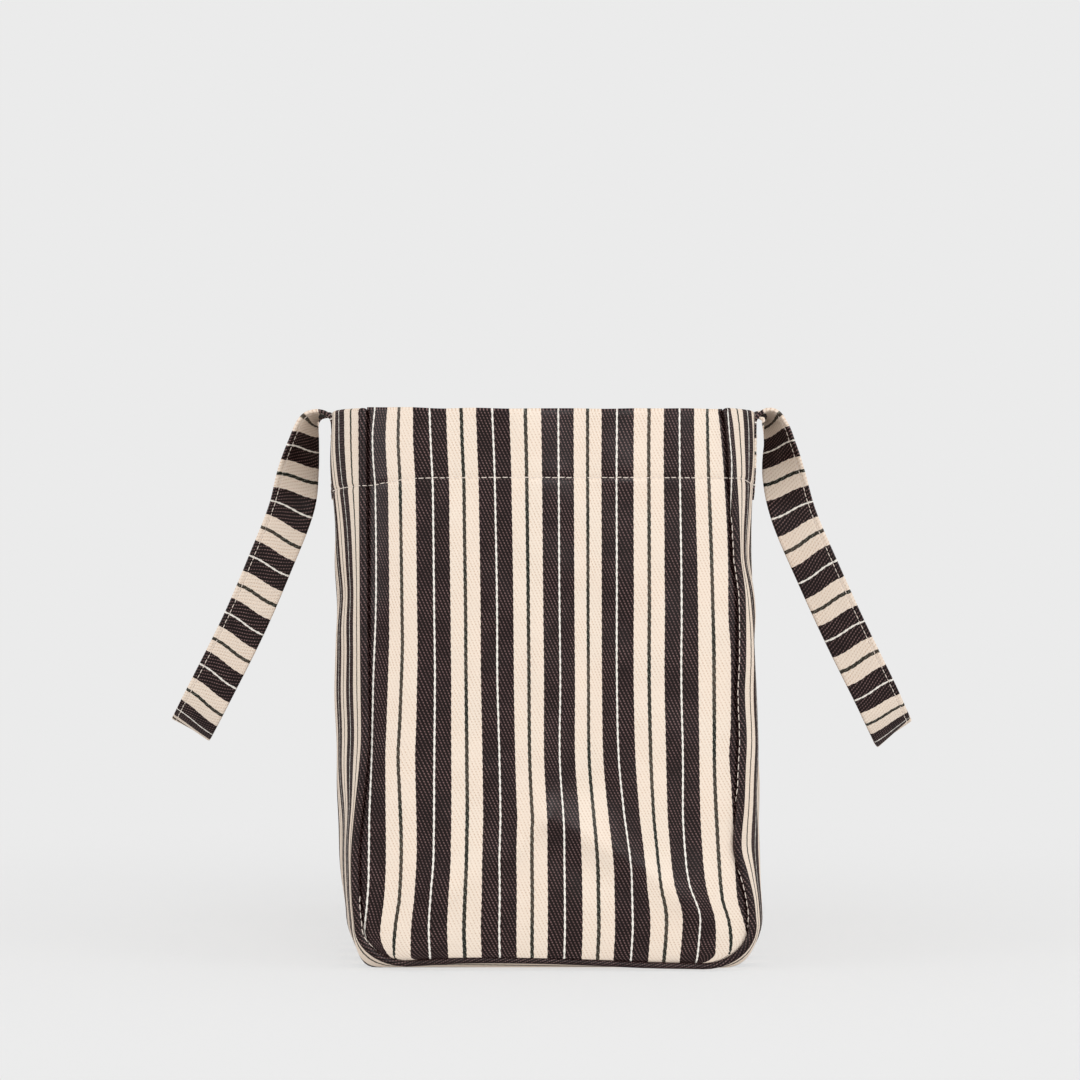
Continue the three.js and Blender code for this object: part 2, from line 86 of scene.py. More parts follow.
# Where the rib's centre runs down both seams: distances from the plane x = 0
FRONT_SEAM = table(
    "z left right",
    (321, 105, 102), (312, 105, 103.6), (302, 105, 104.6), (291, 104.9, 105.5), (280, 104.9, 106),
    (268, 104.8, 106.8), (246, 104.6, 107.7), (234, 104.5, 108.2), (222, 104.4, 109.9),
    (212, 104.4, 110.9), (177, 104.1, 111.1), (158, 103.9, 110.4), (132, 103.7, 111.5),
    (115, 104.9, 110.9), (95, 107, 110.2), (70, 109.2, 108.6), (54, 109.4, 112.6),
    (40, 108.9, 115.8), (26, 107.6, 117.2),
)
BACK_SEAM = table(
    "z left right",
    (321, 106.5, 105), (190, 109.5, 107.5), (90, 110, 109.5), (26, 114, 113),
)

# Height of the rib's centre along the bottom edge of each end panel
FRONT_BASE = table("x z", (-80, 4.2), (-45, 6), (-5, 5.8), (30, 4.6), (55, 3.4), (95, 2.6))
BACK_BASE = table("x z", (-90, 2.6), (0, 3.6), (90, 2.6))

# Outside of the two main faces at the middle of their length
WALL = table(
    "z left right",
    (321, 127, 123.8), (290, 127.2, 123.4), (270, 126.9, 122.2), (254, 126.5, 122),
    (227, 126.1, 122), (200, 125.9, 121.8), (185, 126, 121.8), (150, 126.2, 122.8),
    (120, 126.1, 124.2), (100, 125.6, 125.4), (70, 124.2, 125.3), (46, 122.6, 125.4),
    (26, 121, 126),
)

# The main faces are straight over this half length, then curve in to the seams, by a power that
# depends on the height at the front. The bottom lies flat on the floor up to BASE_TURN from each rib.
WALL_FLAT = 88
FRONT_CURVE = table(
    "z left right",
    (321, 3.9, 3.1), (285, 3, 3), (268, 2.4, 2.5), (250, 1.9, 1.9), (230, 1.6, 1.9),
    (212, 1.4, 3.2), (190, 1.7, 5.5), (170, 1.8, 6), (130, 1.6, 5), (100, 1.3, 3.6),
    (70, 1.25, 3.6), (26, 1.3, 3.6),
)
BACK_CURVE = 4
BASE_TURN = 16

# Soft upright folds in the main faces. out is positive for a ridge. Each fades towards its foot.
WALL_FOLDS = table(
    "side y width out foot",
    (-1, 0, 26, -3.2, 60), (-1, -126, 13, 0.6, 120), (-1, 122, 16, -2.4, 90), (1, 4, 28, -2.8, 40),
    (1, -120, 15, -0.6, 110), (1, 128, 14, 1.6, 130),
)

# How far the end panels swell out of the plane of their seams: edge rises close beside the seam,
# by the power EDGE_POWER, and middle rises over the whole width
FRONT_SWELL = table(
    "z edge middle",
    (321, 9.5, 11), (250, 9, 9), (180, 7, 6), (110, 4.5, 4), (30, 3.4, 3),
)
BACK_SWELL = table("z edge middle", (321, 8, 13), (200, 6.5, 9), (30, 3.4, 4))
EDGE_POWER = 5
SWELL_FROM = 5
SWELL_TO = 41

# Creases of the end panels: the path's points as [x, z], how far the crease stands out, how far it
# reaches to either side, and how wide its rounded crest is. The front panel's first three ridges meet
# in a point, where the cloth has buckled over its lower edge.
FRONT_CREASES = [
    ([[0, 88], [18, 78.5], [38, 67.5], [57.5, 56.5], [68, 48.5], [80, 38], [96, 24]], 2.8, 8, 1.2),
    ([[0, 88], [-17, 70.5], [-27, 66], [-37, 58], [-54, 46]], 1.6, 7, 1.5),
    ([[-4, 190], [-2, 132], [0, 88]], 1.5, 8, 3),
    ([[6, 66], [34, 52], [60, 36], [82, 22]], -1.4, 6, 9),
    ([[-88, 190], [-92, 120], [-96, 60]], -1.8, 5, 10),
    ([[22, 210], [24, 150], [30, 110]], -1.4, 10, 14),
]
BACK_CREASES = [
    ([[60, 120], [10, 80], [-70, 40]], -3, 7, 14),
    ([[-30, 210], [-20, 150]], -2, 12, 24),
]

# Waves round the open mouth of the end panels, which fade downwards
FRONT_WAVES = table(
    "x width out",
    (-82, 12, 1.6), (-52, 13, -1.4), (-18, 14, 1.5), (16, 13, -1.3), (50, 14, 1.6), (84, 12, -1.4),
)
BACK_WAVES = table("x width out", (-60, 20, 1.8), (0, 22, -2), (62, 20, 1.6))
WAVE_FADE = 95

# The handles' strap, and where it is sewn to a main face
STRAP_WIDTH = 27.5
STRAP_THICKNESS = 2.4
PATCH_Y = 65
PATCH_FOOT = 270
PATCH_TOP = 313

# A handle from the mouth to the bend at its lower end, as far as its front leg goes.
# turn: degrees that the strap's stitched edge has turned from facing the front to facing outwards.
# back, up: how much further out and how much higher the rear leg hangs there.
LEFT_LEG = table(
    "out y z turn back up",
    (129.4, 65, 318.4, 0, 0, 0.4), (132, 65, 321.4, 0, 0.4, 1.6), (135.6, 65, 322.4, 3, 1.4, 3),
    (140.4, 65, 321.2, 9, 4, 4.4), (144.2, 65, 317.2, 20, 6, 4.2), (147.4, 64, 303.6, 38, 7.5, 3),
    (150.4, 62.5, 288, 58, 8.2, 1.5), (154.4, 61, 266, 84, 8.6, 0),
    (168.2, 55.5, 231.4, 90, 8.4, -1), (183.9, 48, 196, 92, 7.8, -2),
)
RIGHT_LEG = table(
    "out y z turn back up",
    (125.6, 65, 318.2, 0, 0, 0.4), (128.8, 65, 321.6, 1, 0.4, 1.6), (133, 65, 322.8, 6, 1.6, 3),
    (136.8, 65, 320.4, 16, 4, 4.4), (139.2, 64.6, 314, 27, 6, 4), (141.2, 64, 303.8, 38, 7, 3),
    (143.8, 62.6, 285, 66, 7.8, 1.5), (149.4, 61, 262, 88, 8.2, 0), (165.4, 55.5, 225, 90, 8.2, -1),
    (182.5, 47, 189, 90, 7.6, -2),
)

# The bend at a handle's lower end: its radius, the middle of its circle, its lean from upright,
# and how far the strap twists on from its start to its lowest point
LEFT_BEND = dict(radius=36.5, out=201.4, z=162.4, lean=27, turn=92, twist=2, back=6.4, up=-2)
RIGHT_BEND = dict(radius=33.5, out=199.2, z=157.6, lean=24.5, turn=92, twist=12, back=6.2, up=-2)
BEND_STEPS = np.array([76, 58, 39, 20, 0])

# The stripes: one repeat across the cloth, from the middle of a white line to the next. Each value
# is where a stripe ends, measured from the white line: white, black, cream, and a thin dark one.
REPEAT = 37.9
WHITE_END = 0.48
BLACK_END = 9.85
CREAM_END = 17.85
STRIP_REPEATS = 11

# Where the front panel's first six white lines cross it, from the middle of the bag, by height
WHITE_LINES = table(
    "z a b c d e f",
    (320, -98, -66.6, -31.1, 6.3, 39.4, 75.1), (305, -99.4, -66.1, -30.5, 6.4, 39.3, 75.1),
    (290, -99, -65.4, -29.9, 6.5, 39.2, 75.2), (275, -97.8, -64.7, -29.5, 6.6, 39.2, 75.4),
    (212, -97.4, -64.1, -28.4, 7, 39.4, 76.3), (166, -99, -63.7, -28.2, 7.5, 39.5, 76.2),
    (121, -100, -64.1, -27, 7.2, 40.7, 77.2), (89, -101.3, -64.3, -26.5, 9.3, 43.9, 77.2),
    (80, -101.4, -64.4, -26.7, 9.7, 45.2, 77.6), (64, -101.6, -64.7, -27.1, 9.8, 47.4, 78.8),
    (56, -101.7, -65.2, -27, 9.9, 48.1, 79.8), (48, -101.9, -65.9, -26.9, 10, 48.3, 81.5),
    (34, -103, -67, -27, 10.1, 48.6, 86.8), (23, -104.1, -67.4, -27.2, 10.1, 48.7, 87),
    (5, -103, -66.6, -26.8, 9.7, 47.6, 85.2),
)

# The thin dark lines beside the first and the last of these, and the near edge of the last black
# stripe, which runs into the right seam
OUTER_LINES = table(
    "z thin_left thin_right last_black",
    (320, -84.1, 91.2, 97.3), (302, -84.6, 91.3, 99.3), (280, -83.6, 91.8, 101),
    (257, -83.2, 92.6, 102.4), (235, -82.9, 93.4, 103.2), (200, -82.5, 94.4, 103.4),
    (183, -82.4, 94.8, 104.7), (141, -84, 95.1, 104.7), (122, -85, 95.2, 103.8),
    (104, -84.2, 95.6, 105.1), (70, -83, 97.5, 106.8), (41, -84.1, 99.8, 108.5),
    (29, -86, 103.4, 111.9), (17, -87.3, 104.9, 114.8), (5, -88, 104.9, 117),
)
LINE_PLACES = {
    "a": -3, "thin_left": -2.5, "b": -2, "c": -1, "d": 0, "e": 1, "f": 2, "thin_right": 2.5,
    "last_black": 3 - BLACK_END / REPEAT,
}

# The angle round a rib at which the strip's own white line lies, out of sight. It comes into sight
# near the mouth on the front rib's right side.
RIB_WHITE = 305
RIGHT_RIB_WHITE = table(
    "z angle", (321, 161), (311, 184), (291, 187), (280, 201), (272, 222), (262, 262), (250, 305),
)

# Stripes of the handles: places on the cloth by the distance along the strap, and the slant of the
# stripes across it. They also bow a little.
LEFT_STRIPES = table(
    "length place slant",
    (0, -11.9, 0.1), (12, 0, 0.1), (50, 37.9, 0.1), (83.4, 75.8, 0.1), (120.5, 113.7, 0.12),
    (158.3, 151.6, 0.08), (197.6, 189.5, 0.085), (235.4, 227.4, 0.1), (274.2, 265.3, 0.12),
    (301, 292, 0), (620, 611, 0),
)
RIGHT_STRIPES = table(
    "length place slant",
    (0, -11.5, 0.2), (11.7, 0, 0.2), (49.6, 37.9, 0.25), (81, 75.8, 0.25), (120.1, 113.7, 0.1),
    (161.3, 151.6, 0.11), (202.2, 189.5, 0.02), (245.3, 227.4, 0), (282.4, 265.3, -0.15),
    (310, 293, 0), (620, 603, 0),
)
STRIPE_BOW = 0.55

# The fine unevenness of the main faces and of the end panels, and of the panels' mouth: its height,
# and the length of its waves. On a main face it fades beside the seams and round the patches.
FACE_RELIEF = dict(height=0.55, size=74)
PANEL_RELIEF = dict(height=0.35, size=58)
MOUTH_RELIEF = dict(height=0.35, size=52)
RELIEF_FADE = 40
PATCH_CALM = dict(width=24, foot=235, rise=30)

# How fine the meshes are. Rows of points are closer together round the hem's edge, and slices of
# the strip are closer together beside the ribs, by a power.
WALL_STEPS = 88
HEM_ROWS = dict(above=2, below=9, step=0.7, clear=0.5)
SLICE_POWER = 1.25
RIB_CLEARANCE = 1.2
CORNER_STEPS = 12
BASE_LINES = 44
SLICES = 78
RIB_POINTS = 20
PANEL_COLUMNS = 112
STRAP_STEPS = 230
HEM_ROUNDS = np.radians([25, 50, 72, 88])

# A rib's section, by the angle from the way into the bag
RIB_JOINT = math.radians(50)
RIB_INNER_JOINT = math.radians(370)


def smooth(t):
    return t * t * (3 - 2 * t)


def clamp01(t):
    return np.clip(t, 0, 1)


def mix(a, b, t):
    return a + (b - a) * t


def bell(distance, width):
    return np.exp(-((distance / width) ** 2))


def unit(vectors):
    return vectors / np.linalg.norm(vectors, axis=-1)[..., None]


def read(rows, key, column, value):
    """Reads a column of a table at any values of its key, on a curve through the rows."""
    order = np.argsort(rows[key])
    x = rows[key][order]
    y = rows[column][order]
    last = len(x) - 1
    place = np.clip(np.asarray(value, float), x[0], x[-1])
    i = np.clip(np.searchsorted(x, place, side="right") - 1, 0, last - 1)
    below = np.maximum(np.arange(last + 1) - 1, 0)
    above = np.minimum(np.arange(last + 1) + 1, last)
    slope = (y[above] - y[below]) / (x[above] - x[below])
    span = x[i + 1] - x[i]
    t = (place - x[i]) / span
    bend = slope[i] * t * (1 - t) ** 2 - slope[i + 1] * t * t * (1 - t)
    return mix(y[i], y[i + 1], smooth(t)) + span * bend


def read_sides(rows, side, z):
    """Reads a table's left or right column at heights z. side is below 0 on the left."""
    return np.where(side < 0, read(rows, "z", "left", z), read(rows, "z", "right", z))


# Waves that add up to a soft unevenness, and about how high they reach together
WAVES = table(
    "along across turn",
    (1.00, 0.31, 0.3), (-0.52, 0.83, 2.1), (0.28, -1.17, 4.4), (1.43, 1.02, 1.2),
    (-1.61, 0.44, 5.3), (0.71, 1.64, 3.6),
)
WAVES_HEIGHT = 2.5


def unevenness(a, b, height, size):
    """A soft relief of about this height, with waves of about the length size."""
    total = 0
    for along, across, turn in zip(*WAVES.values()):
        total = total + np.sin(2 * math.pi * (along * a + across * b) / size + turn)
    return height * total / WAVES_HEIGHT


# The bag's rings of points: down the left face, round the corner, along the bottom, up the right


def ring_heights():
    """Heights of the rows of points on the sides, closer together at the hem's edge."""
    even = np.linspace(HEIGHT - HEM_CLOTH / 2, CORNER_RISE, WALL_STEPS)
    rows = HEM_ROWS
    near_hem = np.arange(HEM_EDGE + rows["above"], HEM_EDGE - rows["below"], -rows["step"])
    above = even > near_hem[0] + rows["clear"]
    below = even < near_hem[-1] - rows["clear"]
    return np.sort(np.concatenate([even[above | below], near_hem]))[::-1]


HEIGHTS = ring_heights()
SIDE_COUNT = len(HEIGHTS) + CORNER_STEPS - 1


def make_ring(half_width, base, reach):
    """The ring whose half width at each side and height, and height along the bottom, are given."""
    angle = np.linspace(0, math.pi / 2, CORNER_STEPS + 1)[1:-1]
    halves = []
    for side in (-1, 1):
        edge = half_width(side, CORNER_RISE)
        foot = base(side * (edge - reach))
        x = np.concatenate([half_width(side, HEIGHTS), edge - reach + reach * np.cos(angle)])
        z = np.concatenate([HEIGHTS, CORNER_RISE - (CORNER_RISE - foot) * np.sin(angle)])
        low = np.concatenate([np.zeros(len(HEIGHTS)), smooth(angle / (math.pi / 2))])
        halves.append(np.column_stack([side * x, z, low]))
    start = -(half_width(-1, CORNER_RISE) - reach)
    stop = half_width(1, CORNER_RISE) - reach
    x = np.linspace(start, stop, BASE_LINES + 1)
    bottom = np.column_stack([x, base(x), np.ones(len(x))])
    return np.concatenate([halves[0], bottom, halves[1][::-1]])


def ring_normals(ring):
    """The outward direction at each point of a ring, as x and z."""
    padded = np.concatenate([ring[:1], ring, ring[-1:]])
    way = unit(padded[2:, :2] - padded[:-2, :2])
    return np.column_stack([way[:, 1], -way[:, 0]])


def seam_ring(seam, base):
    return make_ring(
        lambda side, z: read_sides(seam, side, z), lambda x: read(base, "x", "z", x), SEAM_REACH,
    )


SEAMS = {-1: seam_ring(FRONT_SEAM, FRONT_BASE), 1: seam_ring(BACK_SEAM, BACK_BASE)}
MIDDLE = make_ring(lambda side, z: read_sides(WALL, side, z), lambda x: 0 * x, WALL_REACH)
RING_SIZE = len(MIDDLE)


def rib_radius(end):
    """The rib's radius at each point of its ring, as a column."""
    return mix(RIB_RADIUS, BASE_RIB_RADIUS, SEAMS[end][:, 2:])


def wall_fold(side, y, z):
    """Distance that the upright folds push a main face outwards."""
    total = 0 * y * z
    for fold_side, fold_y, width, out, foot in zip(*WALL_FOLDS.values()):
        fade = smooth(clamp01((z - foot) / (HEIGHT - foot)))
        total = total + (side == fold_side) * out * fade * bell(y - fold_y, width)
    return total


def outer_rings(slices):
    """The outside of the body strip in the planes y: from the seam's ring to the middle's ring."""
    y = slices[:, None]
    joint_y = SEAM_Y - RIB_RADIUS * math.cos(RIB_JOINT)
    feet = {
        end: SEAMS[end][:, :2] + ring_normals(SEAMS[end]) * rib_radius(end) * math.sin(RIB_JOINT)
        for end in (-1, 1)
    }
    foot_x = np.where(y < 0, feet[-1][:, 0], feet[1][:, 0])
    foot_z = np.where(y < 0, feet[-1][:, 1], feet[1][:, 1])
    x, z, low = MIDDLE.T
    side = np.sign(x)
    power = np.where(y < 0, read_sides(FRONT_CURVE, side, z), BACK_CURVE)
    wall_share = 1 - clamp01((np.abs(y) - WALL_FLAT) / (joint_y - WALL_FLAT)) ** power
    base_share = smooth(clamp01((joint_y - np.abs(y)) / BASE_TURN))
    share = mix(wall_share, base_share, low)
    fold = np.where(low == 0, wall_fold(side, y, z) * wall_share, 0)
    return mix(foot_x, x, share) + side * fold, mix(foot_z, z, share)


def strip_dip(side, y):
    """How much lower the hem's edge is on a main face."""
    dip = STRIP_HEM_DIP[side]
    return mix(dip["front"], dip["rest"], smooth(clamp01((y + SEAM_Y) / HEM_DIP_TURN)))


def panel_dip(end, x):
    dip = PANEL_HEM_DIP
    return (end < 0) * dip["depth"] * bell(x - dip["x"], dip["width"])


def cloth_at(over_edge):
    """Thickness of the cloth by the height over the hem's edge: the hem is double."""
    risen = (over_edge + HEM_STEP["below"]) / HEM_STEP["height"]
    return mix(CLOTH, HEM_CLOTH, smooth(clamp01(risen)))


def hem_groove(over_edge):
    """Depth of the groove that the hem's stitches pull into the outside."""
    return HEM_GROOVE["depth"] * bell(over_edge, HEM_GROOVE["width"])


# Meshes


def add_object(name, data):
    added = bpy.data.objects.new(name, data)
    bpy.context.scene.collection.objects.link(added)
    return added


def mesh_piece(name, points, faces, material, cloth=None):
    """A smooth mesh piece. cloth holds each point's place across and along the stripes."""
    mesh = bpy.data.meshes.new(name)
    mesh.from_pydata((points * MM).tolist(), [], faces)
    if cloth is not None:
        corners = np.empty(len(mesh.loops), int)
        mesh.loops.foreach_get("vertex_index", corners)
        layer = mesh.uv_layers.new(name="cloth")
        layer.data.foreach_set("uv", (cloth[corners] * MM).ravel())
    work = bmesh.new()
    work.from_mesh(mesh)
    bmesh.ops.recalc_face_normals(work, faces=work.faces)
    work.to_mesh(mesh)
    work.free()
    mesh.shade_smooth()
    mesh.materials.append(material)
    return add_object(name, mesh)


def strip_quads(first, second):
    """Quads between two equal lines of points, given by their numbers."""
    return np.stack([first[:-1], first[1:], second[1:], second[:-1]], axis=-1).tolist()


def loft_faces(count, size):
    """Faces of a tube through count closed sections of size points, with both ends closed.
    A section's first point and the one half way round lie at its two tips."""
    index = np.arange(count * size).reshape(count, size)
    closed = np.column_stack([index, index[:, 0]])
    faces = []
    for low, high in zip(closed[:-1], closed[1:]):
        faces += strip_quads(low, high)
    half = size // 2
    for end in (index[0], index[-1]):
        faces += strip_quads(end[:half], end[:half - 1:-1])
    return faces


def loft_piece(name, sections, u, v, material):
    """A piece through closed sections, with each point's place across and along the stripes."""
    faces = loft_faces(*sections.shape[:2])
    cloth = np.column_stack([u.ravel(), v.ravel()])
    return mesh_piece(name, sections.reshape(-1, 3), faces, material, cloth)


def over_hem(edge, centre, angle):
    """Points on the hem's rounded top, at an angle from its side."""
    return centre + (edge - centre) * math.cos(angle) + [0, 0, HEM_CLOTH / 2 * math.sin(angle)]


def path_lengths(points):
    """Distance along a line of points, or along each column of a grid, from its first."""
    steps = np.linalg.norm(np.diff(points, axis=0), axis=-1)
    return np.concatenate([np.zeros_like(steps[:1]), np.cumsum(steps, axis=0)])


def at(line, length, place):
    """Points of a line, or other things known along it, at given distances."""
    return np.stack([np.interp(place, length, column) for column in line.T], axis=-1)


# The body strip: left face, bottom and right face in one, with a rib along both long edges


def body_slices():
    """Places of the strip's points between its two seams, closer together beside the ribs."""
    even = np.linspace(-1, 1, SLICES)
    reach = SEAM_Y - RIB_RADIUS * math.cos(RIB_JOINT) - RIB_CLEARANCE
    return reach * np.sign(even) * (1 - (1 - np.abs(even)) ** SLICE_POWER)


def rib_core(end):
    """The line along the middle of a rib."""
    return np.insert(SEAMS[end][:, :2], 1, end * SEAM_Y, axis=1)


def rib_line(end, angle):
    """A line along a rib's surface: every point of its ring, at one angle round the rib."""
    normals = ring_normals(SEAMS[end]) * math.sin(angle)
    return rib_core(end) + rib_radius(end) * np.insert(normals, 1, -end * math.cos(angle), axis=1)


def body_surfaces():
    """The strip's outside and inside, as points by slice and ring place."""
    slices = body_slices()
    x, z = outer_rings(slices)
    y = np.broadcast_to(slices[:, None], x.shape)
    outside = np.stack([x, y, z], -1)
    normal = unit(np.cross(np.gradient(outside, axis=0), np.gradient(outside, axis=1)))
    normal = normal * np.sign((normal * outside)[:, :, 0].sum())
    wall = 1 - MIDDLE[:, 2]
    patch_high = smooth(clamp01((z - PATCH_CALM["foot"]) / PATCH_CALM["rise"]))
    calm = 1 - bell(np.abs(y) - PATCH_Y, PATCH_CALM["width"]) * patch_high
    edge = clamp01((SEAM_Y - np.abs(y)) / RELIEF_FADE)
    relief = unevenness(y + 3 * x, z, **FACE_RELIEF) * wall * calm * edge
    over_edge = z - HEM_EDGE + np.where(x < 0, strip_dip(-1, y), strip_dip(1, y))
    relief = relief - hem_groove(over_edge) * wall
    outside = outside + normal * relief[:, :, None]
    inside = outside - normal * cloth_at(over_edge)[:, :, None]
    return outside, inside


def body_cloth(outside):
    """Places on the cloth of the strip's outside. The stripes run along the strip."""
    from_front = path_lengths(outside)
    width = STRIP_REPEATS * REPEAT - 2 * BLACK_END
    across = -BLACK_END - width * from_front / from_front[-1]
    middle = outside[len(outside) // 2]
    along = -path_lengths(middle)
    return across, np.broadcast_to(along, across.shape)


def rib_places(rib_angles, white_angle):
    """Distances round a rib on its cloth, so that its white line lies at the angle white_angle."""
    return BLACK_END * (rib_angles - RIB_JOINT)[:, None] / (white_angle - RIB_JOINT)


def make_body(outside, inside, material):
    rib_angles = np.linspace(RIB_JOINT, RIB_INNER_JOINT, RIB_POINTS)
    ribs = {end: np.stack([rib_line(end, angle) for angle in rib_angles]) for end in (-1, 1)}
    across, along = body_cloth(outside)
    half = RIB_POINTS // 2

    def around(front, outer, back, inner):
        """A loop round the strip's section, which starts half way round the front rib."""
        return np.concatenate([front[:half][::-1], outer, back, inner[::-1], front[half:][::-1]])

    loop = around(ribs[-1], outside, ribs[1], inside)
    cores = {end: np.tile(rib_core(end), (RIB_POINTS, 1, 1)) for end in (-1, 1)}
    centre = (outside + inside) / 2
    core = around(cores[-1], centre, cores[1], centre)
    white = np.full(RING_SIZE, math.radians(RIB_WHITE))
    x, z = MIDDLE[:, :2].T
    right_white = np.radians(read(RIGHT_RIB_WHITE, "z", "angle", z))
    front_u = across[0] + rib_places(rib_angles, np.where(x > 0, right_white, white))
    back_u = across[-1] - rib_places(rib_angles, white)
    loop_u = around(front_u, across, back_u, across)
    loop_v = np.broadcast_to(along[0], loop_u.shape)
    left_top, right_top = (
        [over_hem(loop[:, place], core[:, place], angle) for angle in HEM_ROUNDS]
        for place in (0, -1)
    )
    sections = np.concatenate([left_top[::-1], loop.transpose(1, 0, 2), right_top])
    rounds = len(HEM_ROUNDS)
    u = np.concatenate([[loop_u[:, 0]] * rounds, loop_u.T, [loop_u[:, -1]] * rounds])
    v = np.concatenate([[loop_v[:, 0]] * rounds, loop_v.T, [loop_v[:, -1]] * rounds])
    return loft_piece("body_cloth", sections, u, v, material)


# The end panels


def distance_to_path(path, x, z):
    nearest = np.full(x.shape, np.inf)
    for (ax, az), (bx, bz) in zip(path[:-1], path[1:]):
        ahead = (x - ax) * (bx - ax) + (z - az) * (bz - az)
        t = clamp01(ahead / ((bx - ax) ** 2 + (bz - az) ** 2))
        nearest = np.minimum(nearest, np.hypot(x - mix(ax, bx, t), z - mix(az, bz, t)))
    return nearest


def crease_height(path, x, z, reach, crest):
    """A crease's height near its path, from 0 to 1."""
    past_crest = np.hypot(distance_to_path(path, x, z), crest) - crest
    return np.exp(-past_crest / reach)


def panel_relief(design, across, x, z):
    """How far an end panel stands out from the plane of its edge. across runs from 0 to 1."""
    side = np.abs(2 * across - 1)
    low = clamp01((z - SWELL_FROM) / (SWELL_TO - SWELL_FROM))
    creases = sum(out * crease_height(path, x, z, *size) for path, out, *size in design["creases"])
    fade = smooth(clamp01((z - HEIGHT + WAVE_FADE) / WAVE_FADE))
    waves = sum(out * bell(x - wave, width) for wave, width, out in zip(*design["waves"].values()))
    rim = 1 - side ** EDGE_POWER
    edge = read(design["swell"], "z", "edge", z)
    middle = read(design["swell"], "z", "middle", z) * (1 - side ** 2)
    fine = unevenness(x, z, **PANEL_RELIEF)
    relief = np.sqrt(low) * (rim * (edge + creases + fade * waves + fine) + middle)
    return np.maximum(0, relief)


def panel_grid(design):
    """Flat places of a panel's points, by row and column, then how far they stand out. The rows
    beside the round corners share in the lower edge's rise."""
    seam = SEAMS[design["end"]]
    edge = seam[:, :2] - ring_normals(seam) * (rib_radius(design["end"]) - TUCK)
    across = np.linspace(0, 1, PANEL_COLUMNS + 1)
    left = edge[:SIDE_COUNT, None]
    right = edge[::-1][:SIDE_COUNT, None]
    rows = mix(left, right, across[None, :, None])
    bottom = edge[SIDE_COUNT:SIDE_COUNT + BASE_LINES + 1]
    last = at(bottom, np.arange(BASE_LINES + 1), across * BASE_LINES)
    rise = last[:, 1] - mix(last[0, 1], last[-1, 1], across)
    rows[:, :, 1] += seam[:SIDE_COUNT, 2][:, None] * rise
    grid = np.concatenate([rows, last[None]])
    x, z = grid[:, :, 0], grid[:, :, 1]
    relief = panel_relief(design, across[None, :], x, z)
    relief[:, [0, -1]] = 0
    relief[-1] = 0
    mouth = unevenness(x, 0 * x, **MOUTH_RELIEF) * smooth(clamp01((z - HEM_EDGE) / HEM_DEPTH))
    z = z - relief ** 2 / (2 * z) + mouth
    return x, z, relief


def panel_cloth(design, x, z, out):
    """Places on the cloth of a panel's points. The front panel's stripes follow their tables."""
    surface = np.stack([x, out, z], -1)
    length = path_lengths(surface.transpose(1, 0, 2)).T
    fall = path_lengths(surface)
    if design["end"] > 0:
        middle = np.array([np.interp(0, *row) for row in zip(x, length)])
        return middle[:, None] - length, -fall
    across = np.empty_like(x)
    for row in range(len(x)):
        height = z[row].mean()
        marks = []
        for name in LINE_PLACES:
            lines = WHITE_LINES if name in WHITE_LINES else OUTER_LINES
            marks.append(np.interp(read(lines, "z", name, height), x[row], length[row]))
        inner = np.interp(length[row], marks, REPEAT * np.array(list(LINE_PLACES.values())))
        before = np.minimum(0, length[row] - marks[0])
        after = np.maximum(0, length[row] - marks[-1])
        across[row] = inner + before + after
    last = 3 * REPEAT
    return np.clip(across, 1 - last - BLACK_END, last - 1), -fall


def panel_surfaces(design):
    """A panel's outside and inside, as points by row and column, and its places on the cloth."""
    x, z, relief = panel_grid(design)
    end = design["end"]
    over_edge = z - HEM_EDGE + panel_dip(end, x)
    out = SEAM_Y - GAP + relief - hem_groove(over_edge) * (relief > 0)
    outside = np.stack([x, end * out, z], -1)
    inside = np.stack([x, end * (out - cloth_at(over_edge)), z], -1)
    return outside, inside, panel_cloth(design, x, z, out)


def make_panel(design, surfaces, material):
    outside, inside, (across, along) = surfaces
    centre = (outside[0] + inside[0]) / 2
    angles = [*HEM_ROUNDS, *(math.pi - HEM_ROUNDS[::-1])]
    over = [over_hem(outside[0], centre, angle) for angle in angles]
    rows = np.concatenate([outside[::-1], over, inside])
    u = np.concatenate([across[::-1], [across[0]] * len(over), across])
    v = np.concatenate([along[::-1], [along[0]] * len(over), along])
    name = design["name"] + "_cloth"
    return loft_piece(name, rows.transpose(1, 0, 2), u.T, v.T, material)


# The handles


def handle_rows(side, leg, bend):
    """Rows of one handle, from its front patch round to its rear one: points and turns."""
    heights = np.array([PATCH_FOOT, (PATCH_FOOT + PATCH_TOP) / 2, PATCH_TOP])
    seat = read_sides(WALL, side, heights) + GAP + STRAP_THICKNESS / 2
    patch = np.column_stack(np.broadcast_arrays(seat, PATCH_Y, heights, 0, 0, 0, 90))
    upper = np.column_stack(np.broadcast_arrays(*leg.values(), 90))
    step = np.radians(BEND_STEPS)
    lean = math.radians(bend["lean"])
    drop = bend["radius"] * np.cos(step)
    lower = np.column_stack(np.broadcast_arrays(
        bend["out"] + drop * math.sin(lean),
        bend["radius"] * np.sin(step),
        bend["z"] - drop * math.cos(lean),
        bend["turn"] + bend["twist"] * (1 - BEND_STEPS / 90),
        bend["back"],
        bend["up"],
        BEND_STEPS,
    ))
    half = np.concatenate([patch, upper, lower])

    def leg_points(rows, end):
        out, y, z, turn, back, up, angle = rows.T
        share = smooth(clamp01(0.5 + end * angle / 180))
        return np.column_stack([side * (out + back * share), end * y, z + up * share, turn])

    return np.concatenate([leg_points(half, -1), leg_points(half[:-1][::-1], 1)])


